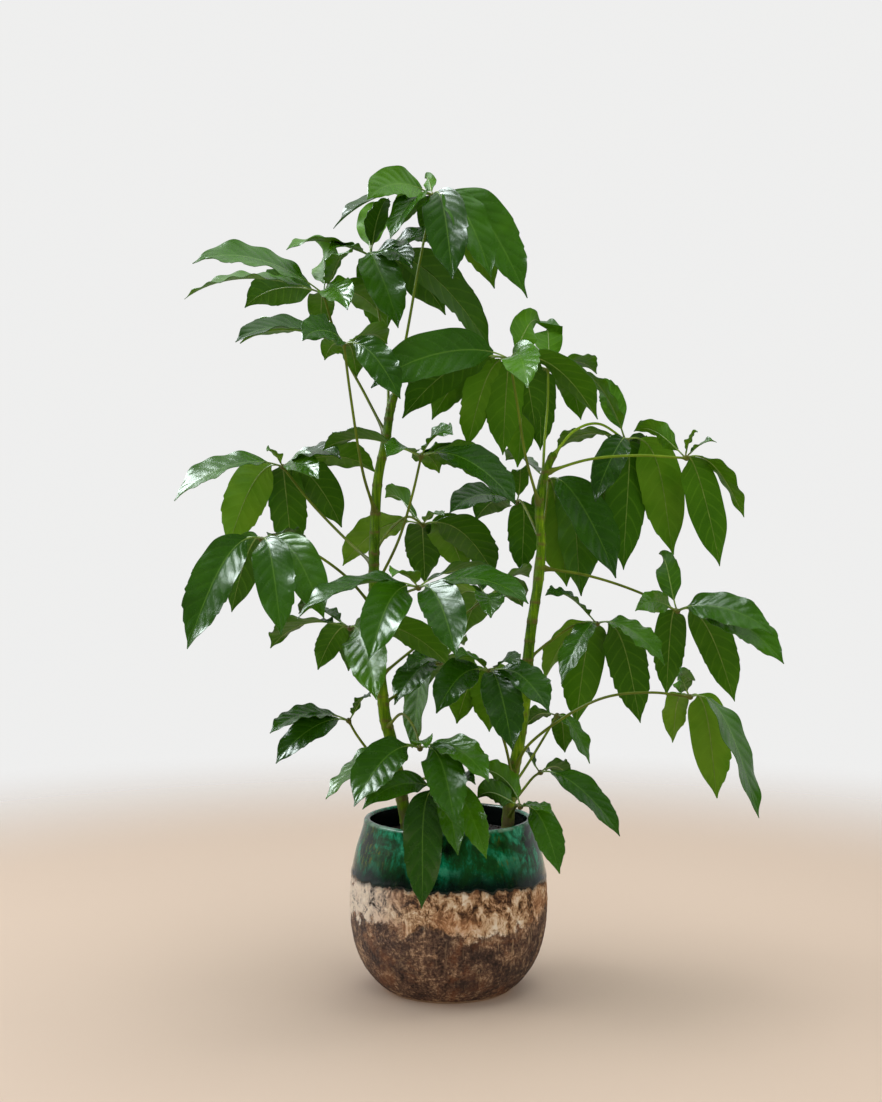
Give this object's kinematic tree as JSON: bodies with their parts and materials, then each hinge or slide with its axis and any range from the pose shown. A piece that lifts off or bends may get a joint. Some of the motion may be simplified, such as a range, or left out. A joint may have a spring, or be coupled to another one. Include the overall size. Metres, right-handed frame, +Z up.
{
  "type": "potted umbrella plant",
  "caption": "Umbrella plant with palmate compound leaves on two green trunks, standing in a bulbous glazed clay pot.",
  "frame": {"origin": "centre of the pot's flat base, where it meets the floor", "axes": "+Z up along the pot's axis; the front, seen in the picture, faces -Y; trunk_a stands to -X, trunk_b to +X"},
  "size_m": [0.927, 0.5809, 1.2483],
  "materials": {
    "pot": "gloss",
    "soil": "matte",
    "trunk": "satin",
    "leaf": "satin"
  },
  "bodies": {
    "root": {"pot": "pot", "soil": "soil", "trunk_a": "trunk", "trunk_b": "trunk", "leaf_a01": "leaf", "leaf_a02": "leaf", "leaf_a03": "leaf", "leaf_a04": "leaf", "leaf_a05": "leaf", "leaf_a06": "leaf", "leaf_a07": "leaf", "leaf_a08": "leaf", "leaf_a09": "leaf", "leaf_a10": "leaf", "leaf_a11": "leaf", "leaf_a12": "leaf", "leaf_a13": "leaf", "leaf_a14": "leaf", "leaf_a15": "leaf", "leaf_b01": "leaf", "leaf_b02": "leaf", "leaf_b03": "leaf", "leaf_b04": "leaf", "leaf_b05": "leaf", "leaf_b06": "leaf", "leaf_b07": "leaf", "leaf_b08": "leaf", "leaf_b09": "leaf", "leaf_b10": "leaf", "leaf_b11": "leaf", "leaf_b12": "leaf", "leaf_b13": "leaf"}
  },
  "joints": []
}
